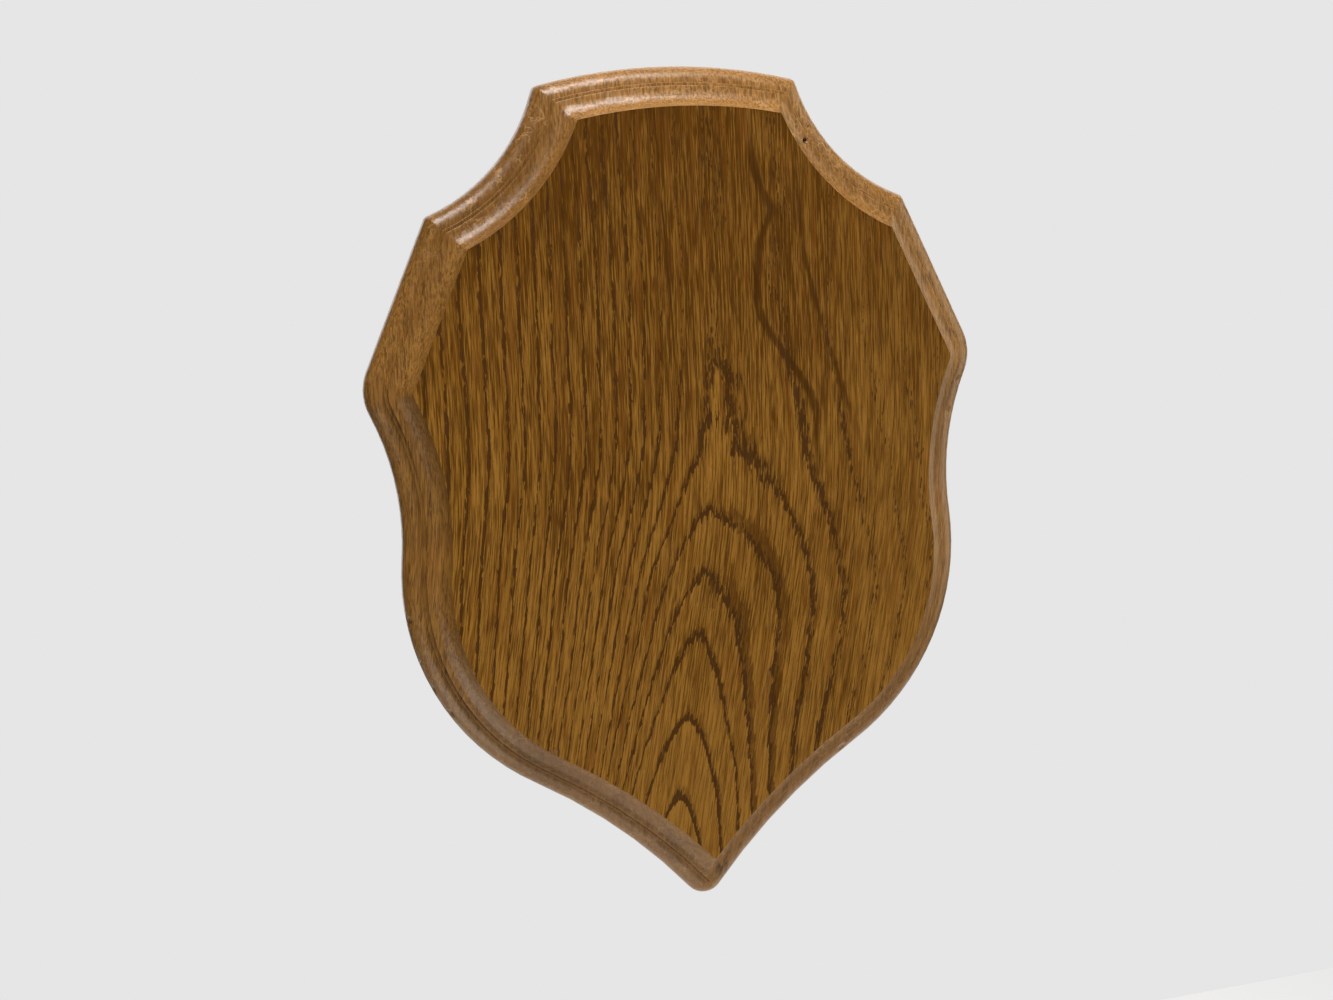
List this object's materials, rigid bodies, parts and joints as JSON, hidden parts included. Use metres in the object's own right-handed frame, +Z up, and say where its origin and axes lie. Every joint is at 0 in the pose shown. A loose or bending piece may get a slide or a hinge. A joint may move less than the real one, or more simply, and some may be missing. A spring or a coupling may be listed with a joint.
{
  "type": "trophy mounting plaque",
  "caption": "Shield-shaped solid oak wall plaque with a moulded front edge and a flat face for fixing a trophy or plate, hung by a keyhole slot in its back.",
  "frame": {"origin": "centre of the flat back face, half way up and half way across the board", "axes": "+X to the right of someone facing the plaque, +Y out of the back into the wall, +Z up towards the crest"},
  "size_m": [0.171, 0.016, 0.23],
  "materials": {
    "oak": "stained oak under a thin satin varnish"
  },
  "bodies": {
    "root": {"plaque": "oak"}
  },
  "joints": []
}
